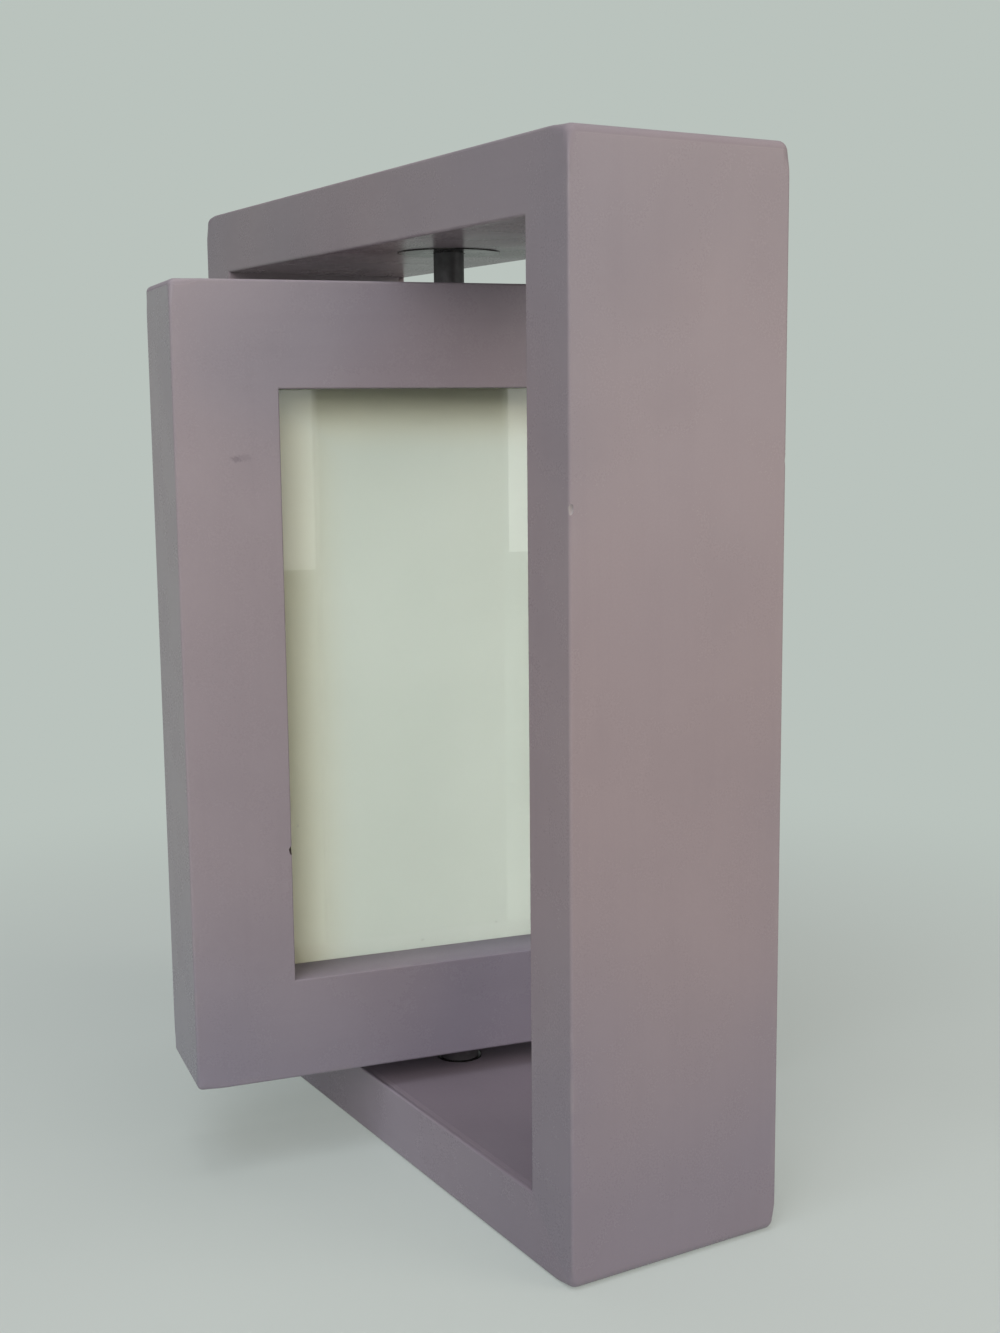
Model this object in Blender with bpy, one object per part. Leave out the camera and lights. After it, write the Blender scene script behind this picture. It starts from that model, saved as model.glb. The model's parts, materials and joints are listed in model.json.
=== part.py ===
"""Swivel picture frame for a 3.5 x 5 in photo on each side.

Four mitred boards make a box frame that stands on its bottom rail. An inner
frame of grooved mouldings hangs in it between two steel posts, so it turns all
the way round. Two clear sheets with the photos between them slide into the
inner frame through a slot in its right moulding.

Metres, +Z up, -Y is the front, and the turning axis is the Z axis.
"""

import math

import bmesh
import bpy
from mathutils import Matrix

# Photo and sheets
PHOTO_WIDTH = 0.0889
PHOTO_HEIGHT = 0.1270
LIP_OVERLAP = 0.00635
SHEET_PLAY = 0.0004
PANE_THICK = 0.0010
INSERT_THICK = 0.00025
CARD_THICK = 0.0005
SHEET_GAP = 0.0001
PACK_PLAY = 0.00015
PANE_CORNER = 0.0010
PAPER_CORNER = 0.0002
PANE_RECESS = 0.0006

# Inner frame mouldings
MOULDING_FACE = 0.0199
MOULDING_DEPTH = 0.0236
MOULDING_ROUND = 0.0005
MOULDING_CORNER = 0.0008
LIP_ROUND = 0.0003
THUMB_RADIUS = 0.0090
THUMB_DEPTH = 0.0040

# Outer frame boards
BOARD_THICK = 0.0130
BOARD_DEPTH = 0.0440
BOARD_ROUND = 0.0005
BOARD_CORNER = 0.0012
SIDE_GAP = 0.0052
TOP_GAP = 0.00665
BOTTOM_GAP = 0.00505
PIVOT_FORWARD = 0.0010

# Mitre joints
MITRE_GAP = 0.0003
SPLINE_WIDTH = 0.0100
SPLINE_THICK = 0.0026
SPLINE_LENGTH = 0.0280
SPLINE_FROM_INSIDE = 0.0042
KEY_WIDTH = 0.0080
KEY_THICK = 0.0026
KEY_LENGTH = 0.0150

# Turning parts
POST_RADIUS = 0.0030
POST_CHAMFER = 0.0004
POST_WEB = 0.0030
BUSH_WALL = 0.0014
BUSH_LENGTH = 0.0072
FLANGE_RADIUS = 0.0101
FLANGE_THICK = 0.0010
FLANGE_PROUD = 0.0005
WASHER_RADIUS = 0.0040
WASHER_CHAMFER = 0.0003
RUNNING_CLEARANCE = 0.00015
SEAT_GAP = 0.0003
SWING_DEGREES = 80.64

# Facets
ROUND_STEPS = 4
CORNER_STEPS = 6
TURN_STEPS = 40
PAST = 0.002

# Worked out from the sizes above
WINDOW_WIDTH = PHOTO_WIDTH - 2 * LIP_OVERLAP
WINDOW_HEIGHT = PHOTO_HEIGHT - 2 * LIP_OVERLAP
INNER_WIDTH = WINDOW_WIDTH + 2 * MOULDING_FACE
INNER_HEIGHT = WINDOW_HEIGHT + 2 * MOULDING_FACE
OUTER_WIDTH = INNER_WIDTH + 2 * (SIDE_GAP + BOARD_THICK)
OUTER_HEIGHT = INNER_HEIGHT + TOP_GAP + BOTTOM_GAP + 2 * BOARD_THICK
INNER_CENTRE_Z = BOARD_THICK + BOTTOM_GAP + INNER_HEIGHT / 2
OUTER_CENTRE_Z = OUTER_HEIGHT / 2
GROOVE_DEPTH = LIP_OVERLAP + SHEET_PLAY
PACK_THICK = 2 * PANE_THICK + 2 * INSERT_THICK + CARD_THICK + 4 * SHEET_GAP
GROOVE_WIDTH = PACK_THICK + 2 * PACK_PLAY
SOLID_WEB = MOULDING_FACE - GROOVE_DEPTH
POST_SEAT = SOLID_WEB - POST_WEB
BUSH_BORE = POST_RADIUS + RUNNING_CLEARANCE
BUSH_RADIUS = BUSH_BORE + BUSH_WALL
WASHER_THICK = BOTTOM_GAP - 2 * SEAT_GAP

SIDES = {"top": (0, 1), "left": (-1, 0), "bottom": (0, -1), "right": (1, 0)}


def clear_scene():
    """Empties the scene of whatever it opened with."""
    for obj in list(bpy.data.objects):
        bpy.data.objects.remove(obj)


def finish(name, colour, roughness, metallic=0.0, alpha=1.0):
    """A plain Principled material."""
    material = bpy.data.materials.new(name)
    material.use_nodes = True
    shader = material.node_tree.nodes["Principled BSDF"]
    shader.inputs["Base Color"].default_value = (*colour, 1.0)
    shader.inputs["Roughness"].default_value = roughness
    shader.inputs["Metallic"].default_value = metallic
    shader.inputs["Alpha"].default_value = alpha
    return material


def place(name, bm, material, carrier):
    """Turns a bmesh into a closed, smooth-shaded object on its carrier."""
    bmesh.ops.recalc_face_normals(bm, faces=bm.faces)
    mesh = bpy.data.meshes.new(name)
    bm.to_mesh(mesh)
    bm.free()
    mesh.shade_smooth()
    mesh.set_sharp_from_angle(angle=math.radians(35))
    obj = bpy.data.objects.new(name, mesh)
    bpy.context.scene.collection.objects.link(obj)
    obj.parent = carrier
    if material:
        mesh.materials.append(material)
    return obj


def cutter(name, bm, carrier):
    """A shape that only cuts others."""
    obj = place(name, bm, None, carrier)
    obj.hide_render = True
    obj.display_type = "WIRE"
    return obj


def cut(piece, tool):
    """Cuts a tool's shape out of a piece."""
    modifier = piece.modifiers.new(tool.name, "BOOLEAN")
    modifier.operation = "DIFFERENCE"
    modifier.solver = "EXACT"
    modifier.object = tool


def rounded_loop(half_width, half_height, radius, steps):
    """(x, z) points round a rectangle with rounded corners, from top right to bottom right."""
    points = []
    for corner, (sx, sz) in enumerate(((1, 1), (-1, 1), (-1, -1), (1, -1))):
        for step in range(steps + 1):
            angle = math.pi / 2 * (corner + step / steps)
            x = sx * (half_width - radius) + radius * math.cos(angle)
            z = sz * (half_height - radius) + radius * math.sin(angle)
            points.append((x, z))
    return points


def square_loop(half_width, half_height):
    """The four corners of a rectangle, in the order of rounded_loop."""
    return [(sx * half_width, sz * half_height) for sx, sz in ((1, 1), (-1, 1), (-1, -1), (1, -1))]


def edge_profile(depth, radius):
    """(inset, y) points from the front face over a rounded edge to the back face."""
    quarter = [math.pi / 2 * step / ROUND_STEPS for step in range(ROUND_STEPS + 1)]
    front = [(radius * (1 - math.sin(a)), -depth / 2 + radius * (1 - math.cos(a))) for a in quarter]
    return front + [(inset, -y) for inset, y in reversed(front)]


def bridge(bm, first, second):
    """Quads between two closed rings of as many points."""
    count = len(first)
    for i in range(count):
        j = (i + 1) % count
        bm.faces.new((first[i], first[j], second[j], second[i]))


def frame_form(width, height, face, depth, edge_round, corner_round, lip_round):
    """A whole rectangular frame, round its edges, before it is cut into four at the mitres."""
    bm = bmesh.new()
    outside = []
    for inset, y in edge_profile(depth, edge_round):
        radius = corner_round + edge_round - inset
        loop = rounded_loop(width / 2 - inset, height / 2 - inset, radius, CORNER_STEPS)
        outside.append([bm.verts.new((x, y, z)) for x, z in loop])
    inside = []
    for inset, y in edge_profile(depth, lip_round):
        loop = square_loop(width / 2 - face + inset, height / 2 - face + inset)
        inside.append([bm.verts.new((x, y, z)) for x, z in loop])
    for rings in (outside, inside):
        for first, second in zip(rings, rings[1:]):
            bridge(bm, first, second)
    half = CORNER_STEPS // 2
    for outer, inner in ((outside[0], inside[0]), (outside[-1], inside[-1])):
        for side in range(4):
            start = side * (CORNER_STEPS + 1) + half
            rim = [outer[(start + i) % len(outer)] for i in range(CORNER_STEPS + 2)]
            bm.faces.new(rim + [inner[(side + 1) % 4], inner[side]])
    return bm


def mitred(bm, side, width, height):
    """Cuts a frame form down to one side, with half a mitre gap off each end."""
    out_x, out_z = SIDES[side]
    for along_x, along_z in ((out_z, out_x), (-out_z, -out_x)):
        corner = ((out_x + along_x) * width / 2, 0, (out_z + along_z) * height / 2)
        normal = ((out_x - along_x) / math.sqrt(2), 0, (out_z - along_z) / math.sqrt(2))
        start = [c + n * MITRE_GAP / 2 for c, n in zip(corner, normal)]
        geometry = bm.verts[:] + bm.edges[:] + bm.faces[:]
        bmesh.ops.bisect_plane(
            bm, geom=geometry, dist=1e-8, plane_co=start, plane_no=normal, clear_inner=True
        )
        rim = [edge for edge in bm.edges if edge.is_boundary]
        bmesh.ops.holes_fill(bm, edges=rim, sides=0)
    return bm


def block(low, high):
    """A box between two corners."""
    bm = bmesh.new()
    bmesh.ops.create_cube(bm, size=1.0)
    for vert in bm.verts:
        for axis in range(3):
            vert.co[axis] = high[axis] if vert.co[axis] > 0 else low[axis]
    return bm


def tongue(width, thick, length, centre, lean):
    """A flat tongue across a mitre: its length runs along Y, its width square to the mitre."""
    bm = block((-width / 2, -length / 2, -thick / 2), (width / 2, length / 2, thick / 2))
    turn = Matrix.Rotation(math.radians(lean), 4, "Y")
    bmesh.ops.transform(bm, matrix=Matrix.Translation(centre) @ turn, verts=bm.verts)
    return bm


def turned(profile, foot, closed=False):
    """Spins (radius, height) points round the Z axis; a closed profile makes a ring."""
    bm = bmesh.new()
    verts = [bm.verts.new((radius, 0, foot + height)) for radius, height in profile]
    pairs = list(zip(verts, verts[1:] + verts[:1])) if closed else list(zip(verts, verts[1:]))
    edges = [bm.edges.new(pair) for pair in pairs]
    bmesh.ops.spin(
        bm, geom=verts + edges, cent=(0, 0, 0), axis=(0, 0, 1), angle=2 * math.pi,
        steps=TURN_STEPS, use_merge=True,
    )
    bmesh.ops.remove_doubles(bm, verts=bm.verts, dist=1e-7)
    return bm


def rod(radius, foot, top, chamfer=0.0):
    """A round rod on the Z axis, with chamfered ends."""
    length = top - foot
    ends = [(radius, 0), (radius, length)]
    if chamfer:
        ends = [(radius - chamfer, 0), (radius, chamfer), (radius, length - chamfer)]
        ends.append((radius - chamfer, length))
    return turned([(0, 0)] + ends + [(0, length)], foot)


def upside_down(bm, about):
    """Turns a shape over about a level."""
    flip = Matrix.Translation((0, 0, 2 * about)) @ Matrix.Scale(-1, 4, (0, 0, 1))
    bmesh.ops.transform(bm, matrix=flip, verts=bm.verts)
    bmesh.ops.reverse_faces(bm, faces=bm.faces)
    return bm


def sheet(left, right, half_height, thick, middle, corner):
    """A flat sheet that stands across Y, with its corners eased."""
    bm = bmesh.new()
    half_width = (right - left) / 2
    shift = (right + left) / 2
    loop = rounded_loop(half_width, half_height, corner, ROUND_STEPS)
    faces = []
    for y in (middle - thick / 2, middle + thick / 2):
        faces.append([bm.verts.new((x + shift, y, z)) for x, z in loop])
    bridge(bm, faces[0], faces[1])
    bm.faces.new(faces[0])
    bm.faces.new(faces[1])
    return bm


def corners(width, height, set_in):
    """Names, centres and leans of the four mitres, set in from the outer corner."""
    for vertical, sz in (("top", 1), ("bottom", -1)):
        for sideways, sx in (("left", -1), ("right", 1)):
            centre = (sx * (width / 2 - set_in), 0, sz * (height / 2 - set_in))
            yield vertical, sideways, centre, 45 * sx * sz


def join_mitres(pieces, prefix, size, set_in, dims, material, carrier):
    """Puts a tongue in each mitre and cuts its slot in both pieces."""
    width, thick, length = dims
    room = 2 * SEAT_GAP
    for vertical, sideways, centre, lean in corners(*size, set_in):
        name = f"{prefix}{vertical}_{sideways}_"
        place(name + "spline", tongue(width, thick, length, centre, lean), material, carrier)
        slot = tongue(width + room, thick + room, length + room, centre, lean)
        tool = cutter(name + "slot", slot, carrier)
        cut(pieces[vertical], tool)
        cut(pieces[sideways], tool)


def make_outer_frame(carrier, paint, wood):
    """The four painted boards and the splines in their mitres."""
    names = {"top": "top_rail", "bottom": "bottom_rail", "left": "left_stile", "right": "right_stile"}
    boards = {}
    for side, name in names.items():
        form = frame_form(
            OUTER_WIDTH, OUTER_HEIGHT, BOARD_THICK, BOARD_DEPTH, BOARD_ROUND, BOARD_CORNER, BOARD_ROUND
        )
        boards[side] = place(name, mitred(form, side, OUTER_WIDTH, OUTER_HEIGHT), paint, carrier)
    dims = (SPLINE_WIDTH, SPLINE_THICK, SPLINE_LENGTH)
    set_in = BOARD_THICK - SPLINE_FROM_INSIDE
    join_mitres(boards, "", (OUTER_WIDTH, OUTER_HEIGHT), set_in, dims, wood, carrier)
    return boards


def make_bushes(boards, carrier, metal, nylon):
    """A bush in each rail, and the thick washer that the inner frame stands on.

    The upper bush has a broad flange, let in for half its thickness; the lower one is plain.
    """
    rail_top = BOARD_THICK - OUTER_HEIGHT / 2
    foot = rail_top - BUSH_LENGTH
    plain = [(BUSH_BORE, 0), (BUSH_RADIUS, 0), (BUSH_RADIUS, BUSH_LENGTH), (BUSH_BORE, BUSH_LENGTH)]
    tip = BUSH_LENGTH + FLANGE_PROUD
    shoulder = tip - FLANGE_THICK
    flanged = [
        (BUSH_BORE, 0),
        (BUSH_RADIUS, 0),
        (BUSH_RADIUS, shoulder),
        (FLANGE_RADIUS, shoulder),
        (FLANGE_RADIUS, tip),
        (BUSH_BORE, tip),
    ]
    place("lower_bush", turned(plain, foot, closed=True), metal, carrier)
    place("upper_bush", upside_down(turned(flanged, foot, closed=True), 0), metal, carrier)
    hole = BUSH_RADIUS + SEAT_GAP
    lower = rod(hole, foot - SEAT_GAP, rail_top + PAST)
    cut(boards["bottom"], cutter("lower_bush_hole", lower, carrier))
    counterbore = FLANGE_RADIUS + SEAT_GAP
    depth = SEAT_GAP + BUSH_LENGTH + PAST
    stepped = [
        (0, 0),
        (hole, 0),
        (hole, shoulder),
        (counterbore, shoulder),
        (counterbore, depth),
        (0, depth),
    ]
    upper = upside_down(turned(stepped, foot - SEAT_GAP), 0)
    cut(boards["top"], cutter("upper_bush_hole", upper, carrier))
    washer = [
        (BUSH_BORE, 0),
        (WASHER_RADIUS - WASHER_CHAMFER, 0),
        (WASHER_RADIUS, WASHER_CHAMFER),
        (WASHER_RADIUS, WASHER_THICK - WASHER_CHAMFER),
        (WASHER_RADIUS - WASHER_CHAMFER, WASHER_THICK),
        (BUSH_BORE, WASHER_THICK),
    ]
    place("thrust_washer", turned(washer, rail_top + SEAT_GAP, closed=True), nylon, carrier)


def make_inner_frame(carrier, paint, wood):
    """The four grooved mouldings, their mitre keys and the loading slot."""
    names = {side: f"inner_{side}_moulding" for side in SIDES}
    mouldings = {}
    for side, name in names.items():
        form = frame_form(
            INNER_WIDTH, INNER_HEIGHT, MOULDING_FACE, MOULDING_DEPTH, MOULDING_ROUND,
            MOULDING_CORNER, LIP_ROUND,
        )
        mouldings[side] = place(name, mitred(form, side, INNER_WIDTH, INNER_HEIGHT), paint, carrier)
    reach_x = WINDOW_WIDTH / 2 + GROOVE_DEPTH
    reach_z = WINDOW_HEIGHT / 2 + GROOVE_DEPTH
    low = (-reach_x, -GROOVE_WIDTH / 2, -reach_z)
    high = (reach_x, GROOVE_WIDTH / 2, reach_z)
    groove = cutter("sheet_groove", block(low, high), carrier)
    for side in ("top", "left", "bottom"):
        cut(mouldings[side], groove)
    mouth = (INNER_WIDTH / 2 + PAST, GROOVE_WIDTH / 2, reach_z)
    cut(mouldings["right"], cutter("loading_slot", block(low, mouth), carrier))
    notch = rod(THUMB_RADIUS, -MOULDING_DEPTH / 2 - PAST, MOULDING_DEPTH / 2 + PAST)
    bmesh.ops.rotate(notch, verts=notch.verts, matrix=Matrix.Rotation(math.pi / 2, 3, "X"))
    middle = INNER_WIDTH / 2 + THUMB_RADIUS - THUMB_DEPTH
    bmesh.ops.translate(notch, verts=notch.verts, vec=(middle, 0, 0))
    cut(mouldings["right"], cutter("thumb_notch", notch, carrier))
    dims = (KEY_WIDTH, KEY_THICK, KEY_LENGTH)
    join_mitres(
        mouldings, "inner_", (INNER_WIDTH, INNER_HEIGHT), SOLID_WEB / 2, dims, wood, carrier
    )
    return mouldings


def make_posts(mouldings, carrier, metal):
    """A steel post in the top and bottom mouldings, each reaching into its bush."""
    reach = BUSH_LENGTH - SEAT_GAP - POST_CHAMFER
    for name, side, gap, sign in (
        ("upper_post", "top", TOP_GAP, 1), ("lower_post", "bottom", BOTTOM_GAP, -1)
    ):
        seat = INNER_HEIGHT / 2 - POST_SEAT
        post = rod(POST_RADIUS, seat + SEAT_GAP, INNER_HEIGHT / 2 + gap + reach, POST_CHAMFER)
        hole = rod(POST_RADIUS + SEAT_GAP, seat, INNER_HEIGHT / 2 + PAST)
        if sign < 0:
            post = upside_down(post, 0)
            hole = upside_down(hole, 0)
        place(name, post, metal, carrier)
        cut(mouldings[side], cutter(name + "_hole", hole, carrier))


def make_sheets(carrier, clear, paper, card):
    """Pane, insert, spacer card, insert and pane, stacked in the groove."""
    left = -PHOTO_WIDTH / 2
    mouth = INNER_WIDTH / 2 - PANE_RECESS
    stack = (
        ("front_pane", PANE_THICK, mouth, clear, PANE_CORNER),
        ("front_insert", INSERT_THICK, -left, paper, PAPER_CORNER),
        ("spacer_card", CARD_THICK, mouth, card, PANE_CORNER),
        ("back_insert", INSERT_THICK, -left, paper, PAPER_CORNER),
        ("back_pane", PANE_THICK, mouth, clear, PANE_CORNER),
    )
    front = -PACK_THICK / 2
    for name, thick, right, material, corner in stack:
        form = sheet(left, right, PHOTO_HEIGHT / 2, thick, front + thick / 2, corner)
        place(name, form, material, carrier)
        front += thick + SHEET_GAP


def carrier_at(name, height, turn=0.0, behind=0.0):
    """An empty on the turning axis, or behind it, that carries a group of pieces."""
    empty = bpy.data.objects.new(name, None)
    bpy.context.scene.collection.objects.link(empty)
    empty.location = (0, behind, height)
    empty.rotation_euler.z = math.radians(turn)
    return empty


def main():
    clear_scene()
    paint = finish("mauve_paint", (0.29, 0.25, 0.28), 0.42)
    wood = finish("bare_wood", (0.62, 0.47, 0.31), 0.70)
    metal = finish("gunmetal", (0.055, 0.055, 0.060), 0.35, metallic=1.0)
    nylon = finish("black_nylon", (0.035, 0.035, 0.035), 0.50)
    clear = finish("clear_sheet", (0.92, 0.95, 0.94), 0.05, alpha=0.25)
    paper = finish("cream_paper", (0.70, 0.74, 0.68), 0.80)
    card = finish("grey_card", (0.45, 0.43, 0.40), 0.90)
    standing = carrier_at("outer_frame_carrier", OUTER_CENTRE_Z, behind=PIVOT_FORWARD)
    axis = carrier_at("bush_axis", OUTER_CENTRE_Z)
    turning = carrier_at("swivel_axis", INNER_CENTRE_Z, SWING_DEGREES)
    boards = make_outer_frame(standing, paint, wood)
    make_bushes(boards, axis, metal, nylon)
    mouldings = make_inner_frame(turning, paint, wood)
    make_posts(mouldings, turning, metal)
    make_sheets(turning, clear, paper, card)


main()
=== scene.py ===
# %% [markdown]
# # A swivel picture frame in satin mauve paint
#
# This lesson dresses a small desk frame in Blender. Four painted boards make a box
# frame that stands on its bottom board. A second, smaller frame hangs inside it
# between two steel posts and turns all the way round, so that a 3.5 x 5 in print
# shows on each side. The construction is already built and packed. Here every visible
# piece gets its fine form and its finish, and then a camera, a floor and soft light.
#
# All lengths are in metres. +Z is up, -Y is the front of the box frame, and the
# turning axis is the Z axis.

# %% Load the frame as it was built
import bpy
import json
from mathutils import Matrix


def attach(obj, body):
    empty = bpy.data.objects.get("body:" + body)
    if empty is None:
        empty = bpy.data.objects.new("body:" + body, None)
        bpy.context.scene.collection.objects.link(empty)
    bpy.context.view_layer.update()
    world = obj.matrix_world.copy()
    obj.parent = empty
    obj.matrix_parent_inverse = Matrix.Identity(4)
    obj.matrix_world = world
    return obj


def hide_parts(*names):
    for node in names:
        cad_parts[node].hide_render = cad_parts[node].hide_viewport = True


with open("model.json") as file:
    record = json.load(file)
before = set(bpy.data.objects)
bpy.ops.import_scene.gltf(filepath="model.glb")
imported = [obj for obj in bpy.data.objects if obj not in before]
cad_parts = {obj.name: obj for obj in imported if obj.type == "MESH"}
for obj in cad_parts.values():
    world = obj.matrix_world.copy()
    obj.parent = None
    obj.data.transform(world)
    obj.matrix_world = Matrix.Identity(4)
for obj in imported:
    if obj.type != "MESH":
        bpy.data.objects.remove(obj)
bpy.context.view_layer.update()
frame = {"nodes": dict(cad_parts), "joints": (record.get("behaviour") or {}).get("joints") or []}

# %% Bring in the modelling tools
import json
import math
from types import SimpleNamespace

import bmesh
import bpy
from mathutils import Matrix, Vector
from mathutils import noise as grain_noise

print("Blender", bpy.app.version_string)

# %% [markdown]
# ## Read the sizes from the built frame
#
# Sizes could be typed in again by hand, but then the fine pieces would no longer fit
# if the construction changed. So each one is measured on the built pieces, along the
# axes of one of three carriers: the middle of the box frame, the turning axis, which
# stands a millimetre in front of that middle, and the inner frame, swung open.

# %% Find how far the inner frame is swung open
pane_faces = frame["nodes"]["front_pane"].data.polygons
across = max(pane_faces, key=lambda face: face.area).normal
across = across if across.x > 0 else -across
swing = math.atan2(across.x, -across.y)
pivot = Vector(frame["joints"][0]["pos_m"])
on_axis = Matrix.Translation(pivot)
turning = on_axis @ Matrix.Rotation(swing, 4, "Z")
print(f"swung open by {math.degrees(swing):.2f} degrees about a pivot at {pivot.z:.4f} m")


# %% Measure pieces along their carrier's own axes
def own_box(carrier, *nodes):
    """Lowest and highest corner of some built pieces along their carrier's axes."""
    to_own = carrier.inverted()
    points = [to_own @ v.co for node in nodes for v in frame["nodes"][node].data.vertices]
    low = Vector(min(p[axis] for p in points) for axis in range(3))
    high = Vector(max(p[axis] for p in points) for axis in range(3))
    return low, high


def ring_sizes(carrier, left, right, top, bottom):
    """Width, height, depth and face width of a rectangle of four mitred members."""
    low, high = own_box(carrier, left, right, top, bottom)
    stile_low, stile_high = own_box(carrier, left)
    size = high - low
    face = stile_high.x - stile_low.x
    return SimpleNamespace(width=size.x, height=size.z, depth=size.y, face=face)


BOARDS = {"left": "left_stile", "right": "right_stile", "top": "top_rail", "bottom": "bottom_rail"}
MOULDINGS = {side: f"inner_{side}_moulding" for side in BOARDS}
boards_low, boards_high = own_box(Matrix(), *BOARDS.values())
standing = Matrix.Translation((boards_low + boards_high) / 2)
print("the middle of the boards is at", [round(1000 * v, 2) for v in standing.translation])

# %% [markdown]
# The fine roundings are tighter than the built ones, so they reach a little further
# out. To keep its edges inside the built box as it swings, the inner frame is made a
# tenth of a millimetre narrower on each side.

# %% Size the two frames
SWING_ROOM = 0.0001

box_ring = ring_sizes(standing, *BOARDS.values())
photo_ring = ring_sizes(turning, *MOULDINGS.values())
photo_ring.width -= 2 * SWING_ROOM
for title, ring in (("box frame", box_ring), ("inner frame", photo_ring)):
    print(title, {name: round(1000 * size, 2) for name, size in vars(ring).items()})

# %% [markdown]
# ## Stand where the photographer stood
#
# The camera was found from the edges of the real frame: the long edges of the two
# boxes run to vanishing points, which give the lens, the direction and the distance.
# It is close, about 35 cm away and just below the top of the frame, so the near
# corner looms and the far end of the rail tapers. The lens is a focal length in
# pixels, turned into the millimetres that Blender wants.

# %% Set the camera
PHOTO_HEIGHT_PIXELS = 1333
FOCAL_PIXELS = 1730.6
CAMERA_PLACE = Vector((0.30685, -0.16970, 0.14856))
CAMERA_HEADING = math.radians(59.526)
CAMERA_TILT_DOWN = math.radians(8.537)
CAMERA_ROLL = math.radians(-0.560)
SENSOR_HEIGHT_MM = 36.0

camera_data = bpy.data.cameras.new("desk_camera")
camera_data.sensor_fit = "VERTICAL"
camera_data.sensor_height = SENSOR_HEIGHT_MM
camera_data.lens = FOCAL_PIXELS * SENSOR_HEIGHT_MM / PHOTO_HEIGHT_PIXELS
camera_data.clip_start = 0.01
camera = bpy.data.objects.new("desk_camera", camera_data)
bpy.context.scene.collection.objects.link(camera)
heading = Matrix.Rotation(CAMERA_HEADING, 4, "Z")
tilt = Matrix.Rotation(math.pi / 2 - CAMERA_TILT_DOWN, 4, "X")
roll = Matrix.Rotation(CAMERA_ROLL, 4, "Z")
camera.matrix_world = Matrix.Translation(CAMERA_PLACE) @ heading @ tilt @ roll
bpy.context.scene.camera = camera
print(f"lens {camera_data.lens:.1f} mm, {(CAMERA_PLACE - pivot).length:.3f} m from the pivot")

# %% [markdown]
# ## Helpers for finishes
#
# A finish in Blender is a small tree of nodes that ends in one shader. Written out,
# every node takes several lines, so a few helpers say it in one: a noise, a sum, a
# fade from one range to another, a blend of two colours or shaders, and a bump. Every
# socket knows its tree, so a helper needs only a socket to know where its new node
# goes. What is the same all over a surface is set on the shader.

# %% Start a finish
def feed(socket, value):
    """Sets a socket to a number or colour, or links another socket to it."""
    if isinstance(value, bpy.types.NodeSocket):
        socket.id_data.links.new(value, socket)
    else:
        socket.default_value = value


def fed(node, **inputs):
    """The node, with its inputs fed by name."""
    for name, value in inputs.items():
        feed(node.inputs[name.replace("_", " ")], value)
    return node


def added(socket, kind, **inputs):
    """A new node in the tree that a socket is in, with its inputs fed by name."""
    return fed(socket.id_data.nodes.new(kind), **inputs)


def new_finish(name, **inputs):
    """A material, its shader with some inputs set, and the places on the piece."""
    material = bpy.data.materials.new(name)
    material.use_nodes = True
    shader = fed(material.node_tree.nodes["Principled BSDF"], **inputs)
    places = added(shader.inputs[0], "ShaderNodeTexCoord").outputs["Object"]
    return material, shader, places


print("a finish can be started")


# %% Patterns, sums and fades
def vector_step(operation, first, second=(0, 0, 0)):
    """One step of arithmetic on vectors; a length comes out as a number."""
    node = added(first, "ShaderNodeVectorMath")
    node.operation = operation
    feed(node.inputs[0], first)
    node.inputs[1].default_value = second
    return node.outputs["Value" if operation == "LENGTH" else "Vector"]


def stretched(places, scale):
    """Places multiplied along each axis, which stretches what is drawn with them."""
    return vector_step("MULTIPLY", places, scale)


def along_axes(vector):
    """The outputs X, Y and Z of a vector."""
    return added(vector, "ShaderNodeSeparateXYZ", Vector=vector).outputs


def noise(places, scale, detail=2.0, rough=0.5):
    """A soft random pattern from 0 to 1, with about scale bumps per metre."""
    look = {"Scale": scale, "Detail": detail, "Roughness": rough}
    return added(places, "ShaderNodeTexNoise", Vector=places, **look).outputs["Fac"]


def sums(operation, first, second=0.5):
    """One step of arithmetic on a socket and a number or another socket."""
    node = added(first, "ShaderNodeMath")
    node.operation = operation
    feed(node.inputs[0], first)
    feed(node.inputs[1], second)
    return node.outputs["Value"]


def fade(value, start=0.3, end=0.7, low=0.0, high=1.0):
    """Turns start to end into low to high, with soft ends; most of a noise is 0.3 to 0.7."""
    limits = {"From_Min": start, "From_Max": end, "To_Min": low, "To_Max": high}
    node = added(value, "ShaderNodeMapRange", Value=value, **limits)
    node.interpolation_type = "SMOOTHSTEP"
    return node.outputs["Result"]


def wavering(pattern, middle, spread):
    """A number that wavers about a middle value with a pattern."""
    return fade(pattern, 0.2, 0.8, middle - spread, middle + spread)


print("patterns and sums ready")


# %% Blends and bumps
def blended(factor, first, second):
    """A colour between two colours, each three numbers or a socket."""
    node = added(factor, "ShaderNodeMix", Factor=factor)
    node.data_type = "RGBA"
    for socket, colour in ((node.inputs[6], first), (node.inputs[7], second)):
        feed(socket, colour if isinstance(colour, bpy.types.NodeSocket) else (*colour, 1.0))
    return node.outputs[2]


def show_either(factor, first, second, output="Material Output"):
    """Ends a tree in the first of two shaders where factor is 0, the second where it is 1."""
    either = added(factor, "ShaderNodeMixShader", Fac=factor)
    feed(either.inputs[1], first.outputs[0])
    feed(either.inputs[2], second.outputs[0])
    fed(factor.id_data.nodes[output], Surface=either.outputs["Shader"])


def bump(height, depth, below=None):
    """A normal tilted as if the surface rose by depth metres where height is 1."""
    node = added(height, "ShaderNodeBump", Distance=depth, Height=height)
    if below:
        fed(node, Normal=below)
    return node.outputs["Normal"]


print("blends and bumps ready")

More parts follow.
